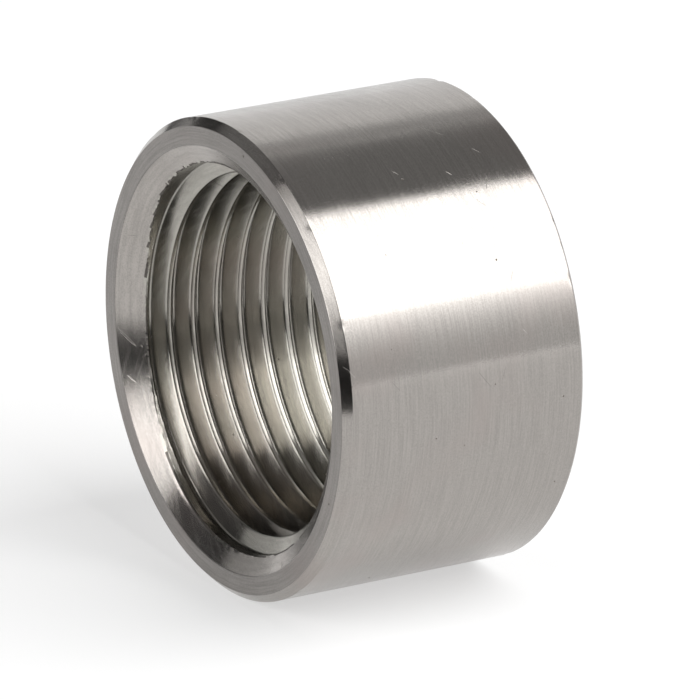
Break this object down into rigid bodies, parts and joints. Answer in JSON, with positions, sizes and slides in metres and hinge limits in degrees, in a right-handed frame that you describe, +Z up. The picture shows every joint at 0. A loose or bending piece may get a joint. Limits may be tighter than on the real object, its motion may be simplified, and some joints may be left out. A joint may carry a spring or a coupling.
{
  "type": "half coupling",
  "caption": "Half coupling: a short turned steel sleeve with an internal parallel pipe thread right through it, a wide countersink at the mouth and a plain end that is welded on.",
  "frame": {"origin": "on the axis where the pipe thread starts, at the small end of the mouth's countersink", "axes": "+Y along the axis towards the weld end, so the mouth faces -Y; +Z up with the sleeve lying on its side"},
  "size_m": [0.0322, 0.018, 0.0322],
  "materials": {
    "stainless_steel": "fine turned stainless steel with circumferential tool marks"
  },
  "bodies": {
    "root": {"sleeve": "stainless_steel"}
  },
  "joints": []
}
